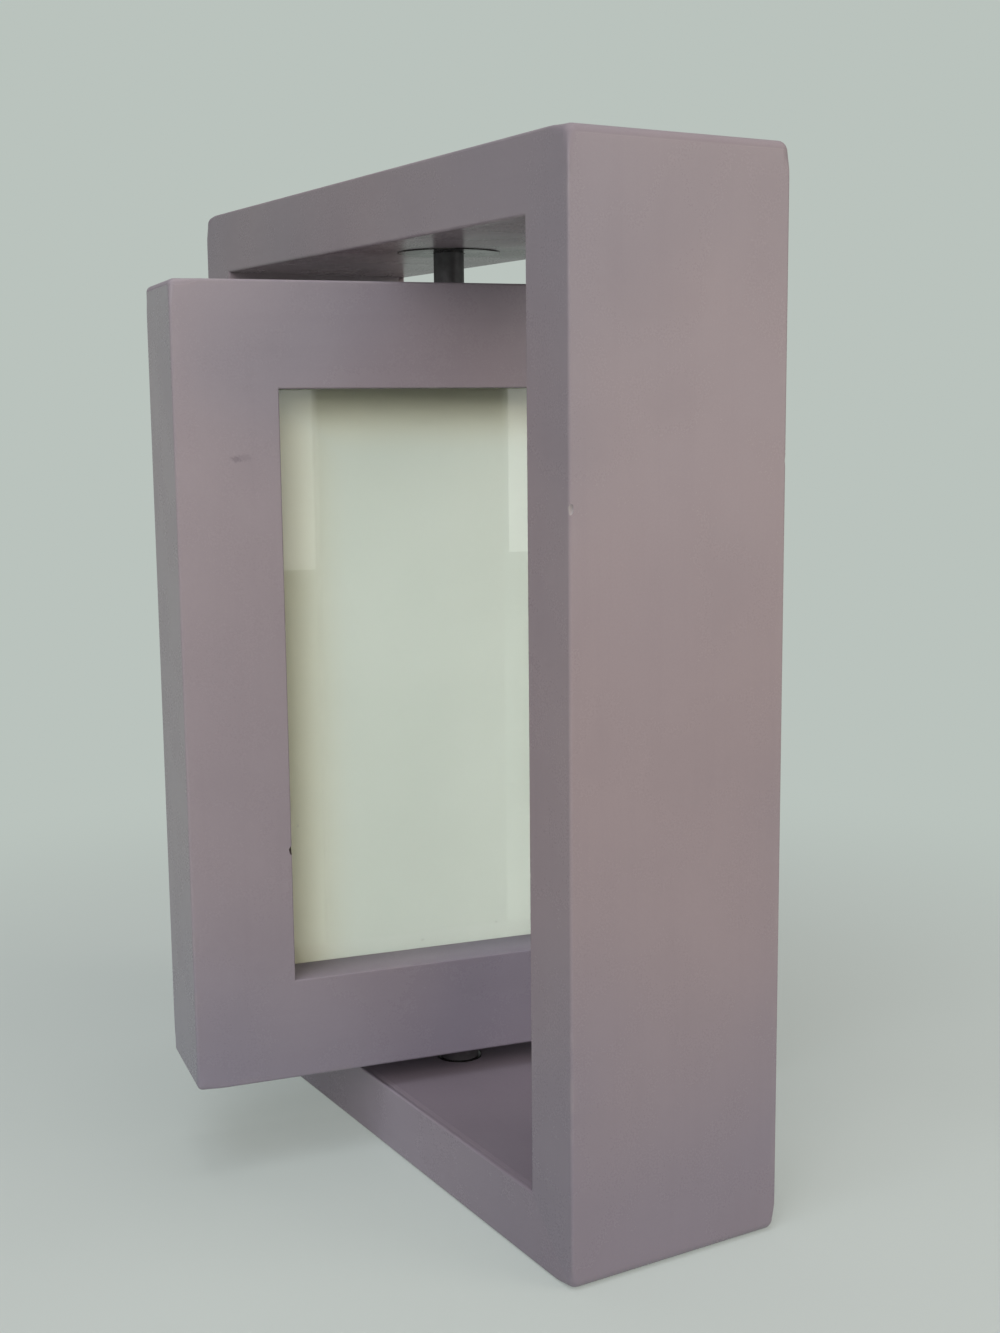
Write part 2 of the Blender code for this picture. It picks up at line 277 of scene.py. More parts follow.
# %% [markdown]
# ## The satin mauve paint
#
# The frame is sprayed with a mauve-grey paint that dries to a satin: dull when looked
# at straight on, and glossy at a low angle, where the underside of the top board
# mirrors the post. A plain shader does that by itself through Fresnel. What makes it
# paint, and not plastic, is slight and lies in layers:
#
# - the tone drifts from a warm mauve to a cooler one over a few centimetres;
# - low down it turns a darker lilac, which is painted shade where less light reaches;
# - half way up it is paler and pinker, which is a painted sheen where the light falls strongest;
# - a speckle under half a millimetre keeps the sprayed coat from looking like glass;
# - the wood's long grain shows faintly through;
# - the surface has orange peel, soft bumps about a millimetre wide;
# - handling has rubbed the rounded edges paler and smoother;
# - dust lies on all that looks up even a little, and makes it rougher.
#
# The rubbed edges follow a number kept on each point of the mesh, called wear, so
# they sit exactly on the roundings. One function makes the paint for either grain
# direction. It takes a lift for red, green and blue, because the inner frame was
# sprayed a shade paler, and it can add dark marks. On the bottom board the lift is
# painted light, for the light thrown up onto its front. Its upper face gets painted
# shade, and its ends are darkened back so that it meets the side boards in one tone.

# %% Tones of the paint
WARM_MAUVE = (0.345, 0.284, 0.288)
COOL_MAUVE = (0.306, 0.264, 0.284)
# Painted shade: the darker lilac that the lower parts turn to.
LILAC_SHADE_MAUVE = (0.262, 0.234, 0.282)
# Painted sheen: the paler, pinker mauve half way up, where the light falls strongest.
PAINTED_SHEEN_MAUVE = (0.415, 0.328, 0.322)
RUBBED_MAUVE = (0.400, 0.352, 0.362)
# Dark tone for random patches and marks, and for the painted shade on the bottom board.
DARK_AND_SHADE_MAUVE = (0.150, 0.118, 0.145)
OUTER_LIFT = (1.00, 1.015, 1.045)
INNER_LIFT = (1.08, 1.14, 1.215)
# Painted light: the bottom board's lift stands in for light thrown up onto its front.
LOWER_LIGHT_LIFT = (1.52, 1.545, 1.57)
DRIFT_SCALE = 11
LEVEL_WAVER = 0.02
LILAC_SHADE_BELOW = (0.010, -0.085)
LILAC_SHADE_SHARE = 0.60
PAINTED_SHEEN_MIDDLE = 0.006
PAINTED_SHEEN_REACH = (0.078, 0.015)
PAINTED_SHEEN_SHARE = 0.60


def drifting_mauve(places, lift):
    """Warm to cool mauve, with painted lilac shade low down and a painted pale pink sheen half way
    up, times a lift.
    """
    tones = (WARM_MAUVE, COOL_MAUVE, LILAC_SHADE_MAUVE, PAINTED_SHEEN_MAUVE)
    warm, cool, lilac, painted_sheen = (tuple(k * c for k, c in zip(lift, tone)) for tone in tones)
    drift = fade(noise(places, DRIFT_SCALE))
    tone = blended(drift, warm, cool)
    waver = fade(drift, 0.0, 1.0, -LEVEL_WAVER, LEVEL_WAVER)
    level = sums("ADD", along_axes(places)["Z"], waver)
    # Painted shade: darker lilac low down.
    tone = blended(fade(level, *LILAC_SHADE_BELOW, 0.0, LILAC_SHADE_SHARE), tone, lilac)
    # Painted sheen: paler and pinker half way up.
    off_middle = sums("ABSOLUTE", sums("SUBTRACT", level, PAINTED_SHEEN_MIDDLE))
    return blended(fade(off_middle, *PAINTED_SHEEN_REACH, 0.0, PAINTED_SHEEN_SHARE), tone, painted_sheen)


print("mauve from", WARM_MAUVE, "to", COOL_MAUVE)


# %% Marks and shaded places
SPOT_EDGE = (0.6, 1.5)
LOOKS_UP = (0.6, 0.95)
# Where the bottom board's painted lift is darkened back to the side boards' tone.
RIGHT_END = (-0.020, 0.074)
LEFT_END = (-0.052, -0.075)
DARKER_ENDS = 0.48


def marked(tone, places, marks, colour, scale, detail, reach):
    """The tone with frayed spots of a colour, each with its place, size and strength."""
    for centre, size, strength in marks:
        frayed = fade(noise(places, scale, detail), 0.3, 0.7, -reach, reach)
        from_centre = vector_step("SUBTRACT", places, centre)
        squeezed = stretched(from_centre, tuple(1 / s for s in size))
        distance = sums("ADD", vector_step("LENGTH", squeezed), frayed)
        spot = sums("MULTIPLY", fade(distance, *SPOT_EDGE, 1.0, 0.0), strength)
        tone = blended(spot, tone, colour)
    return tone


def shade_board(tone, places, upward, share):
    """The tone with painted shade on the face that looks up, and darkened towards both ends, where
    the painted lift is undone.
    """
    lying = fade(upward, *LOOKS_UP)
    tone = blended(sums("MULTIPLY", lying, share), tone, DARK_AND_SHADE_MAUVE)
    across = along_axes(places)["X"]
    ends = sums("MAXIMUM", fade(across, *RIGHT_END), fade(across, *LEFT_END))
    return blended(sums("MULTIPLY", ends, DARKER_ENDS), tone, DARK_AND_SHADE_MAUVE)


print("a mark fades out between", SPOT_EDGE, "of its size")

# %% Mix the paint
# Bumps per metre, detail, roughness, fade from and to, strength
COAT_PATTERNS = {
    "speckle": (2600, 2, 0.6, 0.25, 0.75, 0.06),
    "clouds": (70, 3, 0.5, 0.30, 0.80, 0.07),
    "grain": (1, 3, 0.6, 0.45, 0.75, 0.03),
}
GRAIN_ALONG, GRAIN_ACROSS = 18, 520
GRAIN_DEPTH = 0.0000012
PEEL_SCALE = 850
PEEL_DEPTH = 0.0000016
RUBBED_SCALE = 160
RUBBED_SHARE = 0.40
RUBBED_SMOOTHER = -0.04
SATIN_ROUGHNESS = (0.25, 0.29)
DUST_SETTLES = (0.01, 0.22)
DUSTY = 0.45


def satin_paint(name, grain_axis, lift, marks=(), shaded=0.0):
    """Satin mauve paint over wood whose grain runs along one axis, with its tone times lift."""
    material, shader, places = new_finish(name, IOR=1.46)
    tone = drifting_mauve(places, lift)
    along = tuple(GRAIN_ALONG if axis == grain_axis else GRAIN_ACROSS for axis in "XYZ")
    coat = {}
    for title, (scale, detail, rough, start, end, strength) in COAT_PATTERNS.items():
        where = stretched(places, along) if title == "grain" else places
        coat[title] = noise(where, scale, detail, rough)
        tone = blended(fade(coat[title], start, end, 0.0, strength), tone, DARK_AND_SHADE_MAUVE)
    wear = added(places, "ShaderNodeAttribute")
    wear.attribute_name = "wear"
    patchy = fade(noise(places, RUBBED_SCALE, 4, 0.6), 0.42, 0.68)
    rubbed = sums("MULTIPLY", wear.outputs["Fac"], patchy)
    tone = blended(sums("MULTIPLY", rubbed, RUBBED_SHARE), tone, RUBBED_MAUVE)
    tone = marked(tone, places, marks, DARK_AND_SHADE_MAUVE, 2400, 3, 0.35)
    upward = along_axes(added(places, "ShaderNodeNewGeometry").outputs["Normal"])["Z"]
    # Painted shade on the upper face, and the painted lift undone at the ends.
    if shaded:
        tone = shade_board(tone, places, upward, shaded)
    uneven = sums("ADD", coat["clouds"], sums("MULTIPLY", coat["speckle"], 0.4))
    dull = fade(uneven, 0.5, 0.9, *SATIN_ROUGHNESS)
    dull = sums("ADD", dull, sums("MULTIPLY", rubbed, RUBBED_SMOOTHER))
    dust = fade(upward, *DUST_SETTLES, 0.0, DUSTY)
    relief = bump(noise(places, PEEL_SCALE), PEEL_DEPTH, bump(coat["grain"], GRAIN_DEPTH))
    fed(shader, Base_Color=tone, Roughness=sums("ADD", dull, dust), Normal=relief)
    return material


# Place on the moulding, size and strength
HAND_MARK = ((-0.0464, -0.0118, 0.0443), (0.0009, 0.0006, 0.0005), 0.42)
HAND_SMEAR = ((-0.0449, -0.0118, 0.0446), (0.0012, 0.0006, 0.0006), 0.22)
SHADED_TOP = 0.45
paint_along_x = satin_paint("satin_mauve_rails", "X", OUTER_LIFT)
# Painted light and shade: a lifted copy of the rails' paint, shaded on its top.
paint_low_lit_and_shaded = satin_paint("satin_mauve_lower_rail_lit_and_shaded", "X", LOWER_LIGHT_LIFT, shaded=SHADED_TOP)
paint_along_z = satin_paint("satin_mauve_stiles", "Z", OUTER_LIFT)
inner_along_x = satin_paint("satin_mauve_inner_rails", "X", INNER_LIFT)
inner_along_z = satin_paint("satin_mauve_inner_stiles", "Z", INNER_LIFT)
paint_with_mark = satin_paint("satin_mauve_marked", "Z", INNER_LIFT, (HAND_MARK, HAND_SMEAR))
print("paint nodes:", len(paint_with_mark.node_tree.nodes))

# %% [markdown]
# ## What lies under the paint
#
# Where the paint is knocked off an edge a pale undercoat shows, and where the lip of
# the window took a knock the bare fibre is very dark. The splines, hidden in the
# mitres, are plain beech. Each gets a pattern, because nothing real is one even
# colour.

# %% Undercoat, dark fibre and beech
def speckled(name, light, dark, scale, roughness, depth):
    """A matt finish that wavers between two colours, with a little relief."""
    material, shader, places = new_finish(name)
    pattern = noise(places, scale, 4, 0.6)
    dull = wavering(pattern, roughness, 0.06)
    tone = blended(fade(pattern), light, dark)
    fed(shader, Base_Color=tone, Roughness=dull, Normal=bump(pattern, depth))
    return material


BEECH_LIGHT = (0.66, 0.50, 0.33)
BEECH_DARK = (0.52, 0.36, 0.22)
BEECH_FLECK = (0.30, 0.17, 0.09)


def beech(name):
    """Bare beech: pale rings drawn out along the piece, with short dark flecks."""
    material, shader, places = new_finish(name)
    rings = noise(stretched(places, (90, 12, 90)), 1, 4, 0.55)
    flecks = noise(stretched(places, (2600, 260, 2600)), 1, 2, 0.5)
    tone = blended(fade(rings), BEECH_LIGHT, BEECH_DARK)
    tone = blended(fade(flecks, 0.62, 0.72, 0.0, 0.5), tone, BEECH_FLECK)
    dull = wavering(rings, 0.65, 0.07)
    fed(shader, Base_Color=tone, Roughness=dull, Normal=bump(flecks, 0.00002))
    return material


undercoat = speckled("pale_undercoat", (0.43, 0.40, 0.40), (0.38, 0.34, 0.34), 1800, 0.6, 0.00001)
dark_fibre = speckled("dark_fibre", (0.10, 0.07, 0.06), (0.04, 0.03, 0.03), 2600, 0.85, 0.00003)
bare_beech = beech("bare_beech")
print("under the paint:", undercoat.name, dark_fibre.name, bare_beech.name)

# %% [markdown]
# ## Mesh helpers
#
# Every painted piece comes out of the same few steps. A whole rectangular ring is
# lofted from closed loops and sawn apart at the mitres, as a joiner would, and then
# slots and holes are cut with Booleans. A Boolean is a live modifier, so each cut is
# settled into a plain mesh at once, and edges over 35 degrees are marked sharp.
#
# Smooth shading spreads the tilt of a rounding into the flat face beside it, and on a
# satin finish that shows as bent reflections. So at the end the normals are weighted
# by area: the broad flat face rules every point that it shares.

# %% Make, cut and settle pieces
SHARP_OVER = math.radians(35)


def placed(name, bm, finishes, carrier):
    """A bmesh as an object on a carrier's axes, with its materials."""
    bmesh.ops.recalc_face_normals(bm, faces=bm.faces)
    mesh = bpy.data.meshes.new(name)
    bm.to_mesh(mesh)
    bm.free()
    for material in finishes:
        mesh.materials.append(material)
    piece = bpy.data.objects.new(name, mesh)
    bpy.context.scene.collection.objects.link(piece)
    piece.matrix_world = carrier
    mesh.shade_smooth()
    mesh.set_sharp_from_angle(angle=SHARP_OVER)
    return piece


def settle(piece):
    """Turns a piece with its modifiers into a plain mesh."""
    view = bpy.context.evaluated_depsgraph_get()
    result = bpy.data.meshes.new_from_object(piece.evaluated_get(view), depsgraph=view)
    piece.modifiers.clear()
    piece.data = result
    result.name = piece.name


def cut(piece, bm, carrier, inside=None):
    """Takes a shape out of a piece; the cut faces get the inside finish if there is one."""
    tool = placed("cutter", bm, [inside] if inside else [], carrier)
    modifier = piece.modifiers.new("cut", "BOOLEAN")
    modifier.operation = "DIFFERENCE"
    modifier.solver = "EXACT"
    modifier.object = tool
    modifier.material_mode = "TRANSFER" if inside else "INDEX"
    settle(piece)
    bpy.data.objects.remove(tool)
    piece.data.shade_smooth()
    piece.data.set_sharp_from_angle(angle=SHARP_OVER)


def even_shading(piece):
    """Lets the broad faces rule the normals, so that flat faces reflect as flat ones."""
    modifier = piece.modifiers.new("even", "WEIGHTED_NORMAL")
    modifier.mode = "FACE_AREA"
    modifier.weight = 100
    modifier.keep_sharp = True
    settle(piece)


def block(low, high):
    """A box between two corners."""
    bm = bmesh.new()
    bmesh.ops.create_cube(bm, size=1.0)
    for vert in bm.verts:
        for axis in range(3):
            vert.co[axis] = high[axis] if vert.co[axis] > 0 else low[axis]
    return bm


print("mesh helpers ready")

# %% [markdown]
# ## A rounded ring, sawn at the mitres
#
# Each frame looks like one piece because the paint runs over its mitres. So the ring
# is made whole: loops of points run round the outside, from the front face over a
# rounded edge, along the side and over the far edge to the back, and a second set
# does the same round the opening. A bevel on four separate boards would stop badly at
# the mitres, but a ring that is rounded first and sawn after meets itself exactly.
#
# Extra loops beside each rounding keep the broad faces flat in the light, and carry
# the wear number from 1 on the rounding down to 0 on the face.
#
# Sandpaper takes more off where three faces meet than along an edge. So near each of
# the ring's eight corner points the mesh is drawn in to a box of a larger rounding.

# %% Loops round a rectangle
CORNERS = ((1, 1), (-1, 1), (-1, -1), (1, -1))
ARC_STEPS = 8
CORNER_STEPS = 12
STATIONS = (0.0045, 0.0030, 0.0018, 0.0009)
WEAR_REACH = 0.0012
WEAR_STEPS = (1.0, 0.65, 0.3)
WEAR_AT_EDGE = 0.4
LEAST_CORNER = 0.0002
CORNER_REACH = 0.0055
SAME_PLACE = 1e-7


def rounded_loop(half_width, half_height, radius, stations=()):
    """(x, z) points round a rectangle, with stations on the straights beside each corner."""
    places = [(0, -back) for back in stations]
    places += [(step / CORNER_STEPS, 0) for step in range(CORNER_STEPS + 1)]
    places += [(1, onward) for onward in reversed(stations)]
    points = []
    for corner, (sx, sz) in enumerate(CORNERS):
        for share, along in places:
            angle = math.pi / 2 * (corner + share)
            x = sx * (half_width - radius) + radius * math.cos(angle) - along * math.sin(angle)
            z = sz * (half_height - radius) + radius * math.sin(angle) + along * math.cos(angle)
            points.append((x, z))
    return points


def square_loop(half_width, half_height):
    """The four corners of a rectangle, in the order of rounded_loop."""
    return [(sx * half_width, sz * half_height) for sx, sz in CORNERS]


def over_edges(depth, radius):
    """(inset, y, wear) of each loop, from the front face over both roundings to the back."""
    front = -depth / 2
    beside = [(WEAR_REACH * share, WEAR_AT_EDGE * (1 - share)) for share in WEAR_STEPS]
    rings = [(radius + reach, front, wear) for reach, wear in beside]
    for step in range(ARC_STEPS + 1):
        angle = math.pi / 2 * step / ARC_STEPS
        wear = WEAR_AT_EDGE + (1 - WEAR_AT_EDGE) * math.sin(2 * angle)
        inset = radius * (1 - math.sin(angle))
        rings.append((inset, front + radius * (1 - math.cos(angle)), wear))
    rings += [(0.0, front + radius + reach, wear) for reach, wear in reversed(beside)]
    return rings + [(inset, -y, wear) for inset, y, wear in reversed(rings)]


print("loops per edge:", len(over_edges(box_ring.depth, WEAR_REACH)) // 2)


# %% Loft the ring
def add_loop(bm, points, y, wear):
    """A closed loop of points at one depth, with its wear."""
    layer = bm.verts.layers.float["wear"]
    loop = [bm.verts.new((x, y, z)) for x, z in points]
    for vert in loop:
        vert[layer] = wear
    return loop


def skin(bm, first, second):
    """Quads between two closed loops of as many points."""
    for i, vert in enumerate(first):
        j = (i + 1) % len(first)
        bm.faces.new((vert, first[j], second[j], second[i]))


def draw_in(bm, ring, radius, reach):
    """Draws the eight corner points of a ring in to a box of a larger rounding."""
    half = Vector((ring.width, ring.depth, ring.height)) / 2
    for vert in bm.verts:
        kept = Vector(max(min(c, h - radius), radius - h) for c, h in zip(vert.co, half))
        out = vert.co - kept
        corner_gap = (half - Vector(abs(c) for c in vert.co)).length
        if out.length < SAME_PLACE or corner_gap > reach:
            continue
        share = 1 - (corner_gap / reach) ** 2
        vert.co = vert.co.lerp(kept + out.normalized() * min(out.length, radius), share ** 2)


def ring_form(ring, edge_round, corner_round, lip_round, point_round):
    """A whole rectangular frame with rounded edges and rounder corner points."""
    bm = bmesh.new()
    bm.verts.layers.float.new("wear")
    outside = []
    for inset, y, wear in over_edges(ring.depth, edge_round):
        radius = max(corner_round + edge_round - inset, LEAST_CORNER)
        points = rounded_loop(ring.width / 2 - inset, ring.height / 2 - inset, radius, STATIONS)
        outside.append(add_loop(bm, points, y, wear))
    inside = []
    for inset, y, wear in over_edges(ring.depth, lip_round):
        reach = inset - ring.face
        points = square_loop(ring.width / 2 + reach, ring.height / 2 + reach)
        inside.append(add_loop(bm, points, y, wear))
    for loops in (outside, inside):
        for first, second in zip(loops, loops[1:]):
            skin(bm, first, second)
    per_corner = len(outside[0]) // 4
    for outer, inner in ((outside[0], inside[0]), (outside[-1], inside[-1])):
        for side in range(4):
            start = side * per_corner + per_corner // 2
            rim = [outer[(start + i) % len(outer)] for i in range(per_corner + 1)]
            bm.faces.new(rim + [inner[(side + 1) % 4], inner[side]])
    draw_in(bm, ring, point_round, CORNER_REACH)
    return bm


print("a loop has", 4 * (CORNER_STEPS + 1 + 2 * len(STATIONS)), "points outside and 4 inside")


# %% Saw it at the mitres
SIDES = {"top": (0, 1), "left": (-1, 0), "bottom": (0, -1), "right": (1, 0)}
SAW_SNAP = 1e-6


def sawn(whole, ring, side):
    """A copy of the ring, cut down to one side and closed at both mitres."""
    bm = whole.copy()
    out_x, out_z = SIDES[side]
    for along_x, along_z in ((out_z, out_x), (-out_z, -out_x)):
        corner = ((out_x + along_x) * ring.width / 2, 0, (out_z + along_z) * ring.height / 2)
        normal = ((out_x - along_x) / math.sqrt(2), 0, (out_z - along_z) / math.sqrt(2))
        everything = bm.verts[:] + bm.edges[:] + bm.faces[:]
        bmesh.ops.bisect_plane(
            bm, geom=everything, dist=SAW_SNAP, plane_co=corner, plane_no=normal, clear_inner=True
        )
        bmesh.ops.holes_fill(bm, edges=[edge for edge in bm.edges if edge.is_boundary], sides=0)
    return bm


# Rounding of the edges, of the upright corners, of the opening and of the corner points
BOARD_ROUNDS = (0.0005, 0.0012, 0.0005, 0.0017)
MOULDING_ROUNDS = (0.0005, 0.0008, 0.0003, 0.0012)
box_form = ring_form(box_ring, *BOARD_ROUNDS)
photo_form = ring_form(photo_ring, *MOULDING_ROUNDS)
print("ring points:", len(box_form.verts), "and", len(photo_form.verts))

# %% [markdown]
# ## Boards and mouldings
#
# The top and bottom boards have their grain across, the two sides have it upright.
# The inner frame's mouldings are the same ring, smaller, with a crisper lip to hold
# the pane. The left one has a small dark hand mark near its top. Each becomes its own
# piece, and stands for the built one of the same name.

# %% Saw the boards and the mouldings
def members(nodes, whole, ring, paints, carrier):
    """The four sides of a ring, each a painted piece of its own."""
    pieces = {}
    for side, node in nodes.items():
        form = sawn(whole, ring, side)
        pieces[side] = placed("painted_" + node, form, [paints[side]], carrier)
        print(pieces[side].name, len(pieces[side].data.vertices), "points")
    whole.free()
    return pieces


board_paints = dict(left=paint_along_z, right=paint_along_z, top=paint_along_x, bottom=paint_low_lit_and_shaded)
inner_paints = dict(
    left=paint_with_mark, right=inner_along_z, top=inner_along_x, bottom=inner_along_x
)
boards = members(BOARDS, box_form, box_ring, board_paints, standing)
mouldings = members(MOULDINGS, photo_form, photo_ring, inner_paints, turning)

# %% [markdown]
# ## Slots for the splines
#
# A spline is a loose tongue glued across each mitre. It stays hidden, but the boards
# are real solids, so they have the slots. A slot is the spline's own mesh, grown by
# the glue gap: every point moves out along its normal, and at the corner of a box
# that is the gap times the square root of three.

# %% Grow a built piece into a cutter
GLUE_GAP = 0.0002
FLAT_WITHIN = 0.01


def grown(node, gap, carrier):
    """The mesh of a box-shaped built piece, larger by a gap all round, in its carrier's axes."""
    bm = bmesh.new()
    bm.from_mesh(frame["nodes"][node].data)
    bmesh.ops.remove_doubles(bm, verts=bm.verts, dist=SAW_SNAP)
    bmesh.ops.dissolve_limit(bm, angle_limit=FLAT_WITHIN, verts=bm.verts, edges=bm.edges)
    bmesh.ops.recalc_face_normals(bm, faces=bm.faces)
    bm.normal_update()
    moves = [(vert, vert.normal * gap * math.sqrt(3)) for vert in bm.verts]
    for vert, move in moves:
        vert.co += move
    bmesh.ops.transform(bm, matrix=carrier.inverted(), verts=bm.verts)
    return bm


slots = 0
for pieces, prefix, carrier in ((boards, "", standing), (mouldings, "inner_", turning)):
    for upright in ("top", "bottom"):
        for sideways in ("left", "right"):
            spline = f"{prefix}{upright}_{sideways}_spline"
            for side in (upright, sideways):
                cut(pieces[side], grown(spline, GLUE_GAP, carrier), carrier)
                slots += 1
            frame["nodes"][spline].data.materials.clear()
            frame["nodes"][spline].data.materials.append(bare_beech)
print("slots cut:", slots)

# %% [markdown]
# ## The groove that holds the glazing
#
# Two clear panes with the prints between them sit in a groove round the window. On
# the right it runs out through the moulding as a slot, so that the pack can be pulled
# out by its edge, and a thumb notch makes room for the finger. The groove is one box,
# as wide as the panes and a little play, cut from all four mouldings.

# %% Cut the groove, the slot and the thumb notch
GROOVE_PLAY = 0.00015
SHEET_PLAY = 0.0004
PAST = 0.002
THUMB_RADIUS = 0.0090
THUMB_DEPTH = 0.0040
THUMB_STEPS = 72

pack_low, pack_high = own_box(turning, "front_pane", "back_pane")
groove_low = pack_low - Vector((SHEET_PLAY, GROOVE_PLAY, SHEET_PLAY))
groove_high = Vector((-groove_low.x, pack_high.y + GROOVE_PLAY, pack_high.z + SHEET_PLAY))
mouth_high = Vector((photo_ring.width / 2 + PAST, groove_high.y, groove_high.z))
for side in ("top", "left", "bottom", "right"):
    high = mouth_high if side == "right" else groove_high
    cut(mouldings[side], block(groove_low, high), turning)

notch = bmesh.new()
bmesh.ops.create_cone(
    notch, cap_ends=True, segments=THUMB_STEPS, radius1=THUMB_RADIUS, radius2=THUMB_RADIUS,
    depth=photo_ring.depth + 2 * PAST,
)
notch_x = photo_ring.width / 2 + THUMB_RADIUS - THUMB_DEPTH
notch_place = Matrix.Translation((notch_x, 0, 0)) @ Matrix.Rotation(math.pi / 2, 4, "X")
bmesh.ops.transform(notch, matrix=notch_place, verts=notch.verts)
cut(mouldings["right"], notch, turning)
print(f"groove {1000 * (groove_high.y - groove_low.y):.2f} mm wide")

# %% [markdown]
# ## Turned steel: posts, bushes and the washer
#
# Posts, bushes and the washer come off a lathe, and in Blender a lathe is a spin: a
# profile of (radius, height) points goes once round the axis. The eye sees faceted
# metal at once, so the profile's corners are eased with small arcs first and the spin
# has many steps. Sizes are the built pieces' own, but two details are finer: the
# upper bush stands less proud of the board, so that its rim is a thin line, and the
# washer rests on the board, where the built one keeps a gap.
#
# The posts are dark and dull. The bushes in which they turn are smoother and shine
# more, and the washer has gone grey with dust.

# %% A lathe with eased corners
LATHE_STEPS = 96
EASE_STEPS = 4


def eased(profile, radius):
    """The profile with each corner replaced by a short curve; the first and last points stay."""
    points = [Vector(point) for point in profile]
    curve = points[:1]
    for before, corner, after in zip(points, points[1:], points[2:]):
        to_before, to_after = before - corner, after - corner
        reach = min(radius, to_before.length / 2, to_after.length / 2)
        start = corner + to_before.normalized() * reach
        end = corner + to_after.normalized() * reach
        for step in range(EASE_STEPS + 1):
            t = step / EASE_STEPS
            curve.append(start * (1 - t) ** 2 + corner * 2 * t * (1 - t) + end * t ** 2)
    return curve + points[-1:]


def spun(profile, up=1):
    """A profile turned once round the Z axis; with up at -1 it hangs upside down."""
    bm = bmesh.new()
    verts = [bm.verts.new((radius, 0, up * height)) for radius, height in profile]
    edges = [bm.edges.new(pair) for pair in zip(verts, verts[1:])]
    bmesh.ops.spin(
        bm, geom=verts + edges, cent=(0, 0, 0), axis=(0, 0, 1), angle=2 * math.pi,
        steps=LATHE_STEPS, use_merge=True,
    )
    bmesh.ops.remove_doubles(bm, verts=bm.verts, dist=SAME_PLACE)
    return bm


def ends_of(carrier, node, up):
    """The heights of a built piece's foot and tip, counted along up, and its radius."""
    low, high = own_box(carrier, node)
    foot, tip = (low.z, high.z) if up > 0 else (-high.z, -low.z)
    return foot, tip, high.x


print("a turned piece has", LATHE_STEPS, "sides")


# %% Gunmetal and nylon
LATHE_RINGS = (40, 40, 9000)
LATHE_DEPTH = 0.000001


def turned_steel(name, light, dark, roughness, metal):
    """Dark steel with fine rings from the lathe, a little worn and dusty."""
    material, shader, places = new_finish(name, Metallic=metal)
    rings = noise(stretched(places, LATHE_RINGS), 1, 2, 0.6)
    haze = noise(places, 420, 3, 0.6)
    tone = blended(fade(haze), light, dark)
    uneven = [fade(pattern, 0.3, 0.7, -0.03, 0.03) for pattern in (rings, haze)]
    dull = sums("ADD", sums("ADD", *uneven), roughness)
    fed(shader, Base_Color=tone, Roughness=dull, Normal=bump(rings, LATHE_DEPTH))
    return material


gunmetal = turned_steel(
    "dark_turned_steel", (0.165, 0.160, 0.162), (0.135, 0.131, 0.133), roughness=0.50, metal=0.5
)
bush_steel = turned_steel(
    "polished_bush_steel", (0.050, 0.048, 0.046), (0.040, 0.038, 0.037), roughness=0.26, metal=0.6
)
black_nylon = speckled(
    "dusty_black_nylon", (0.115, 0.108, 0.113), (0.085, 0.080, 0.084), 500, 0.85, 0.000004
)
print("turned finishes:", gunmetal.name, bush_steel.name, black_nylon.name)

# %% Turn the posts and make their holes
POST_CHAMFER = 0.0004
POST_EASE = 0.00015
SEAT_GAP = 0.0003

posts = {}
for node, side, up in (("upper_post", "top", 1), ("lower_post", "bottom", -1)):
    foot, tip, radius = ends_of(turning, node, up)
    chamfer = [(radius, tip - POST_CHAMFER), (radius - POST_CHAMFER, tip)]
    shaft = eased([(0, foot), (radius, foot), *chamfer, (0, tip)], POST_EASE)
    wide, deep = radius + SEAT_GAP, foot - SEAT_GAP
    posts[side] = placed("turned_" + node, spun(shaft, up), [gunmetal], turning)
    cut(mouldings[side], spun([(0, deep), (wide, deep), (wide, tip), (0, tip)], up), turning)
    print(posts[side].name, f"radius {1000 * radius:.2f} mm, {1000 * (tip - foot):.1f} mm long")

# %% Turn the bushes and make their holes
BORE_CLEARANCE = 0.00015
BUSH_WALL = 0.0014
FLANGE_THICK = 0.0010
TURNED_EASE = 0.00020
SUNK = 0.00028
FIT_GAP = 0.00010

bore = ends_of(turning, "upper_post", 1)[2] + BORE_CLEARANCE
barrel = bore + BUSH_WALL
bushes = {}
for node, side, up in (("lower_bush", "bottom", 1), ("upper_bush", "top", -1)):
    foot, tip, reach = ends_of(on_axis, node, up)
    tip -= SUNK if up < 0 else 0.0
    middle = (foot + tip) / 2
    shoulder = tip - FLANGE_THICK
    sleeve, hole_foot = barrel + SEAT_GAP, foot - SEAT_GAP
    outline = [(bore, middle), (bore, foot), (barrel, foot)]
    hole = [(0, hole_foot), (sleeve, hole_foot)]
    if reach > barrel + FIT_GAP:
        outline += [(barrel, shoulder), (reach, shoulder), (reach, tip)]
        wide, seat = reach + FIT_GAP, shoulder - SEAT_GAP
        hole += [(sleeve, seat), (wide, seat), (wide, tip + PAST)]
    else:
        outline += [(barrel, tip)]
        hole += [(sleeve, tip + PAST)]
    outline = eased(outline + [(bore, tip), (bore, middle)], TURNED_EASE)
    bushes[side] = placed("turned_" + node, spun(outline, up), [bush_steel], on_axis)
    cut(boards[side], spun(hole + [(0, tip + PAST)], up), on_axis)
    print(bushes[side].name, f"{2000 * reach:.1f} mm across")

# %% Turn the washer
TOUCH_GAP = 0.00004
WASHER_EASE = 0.00012

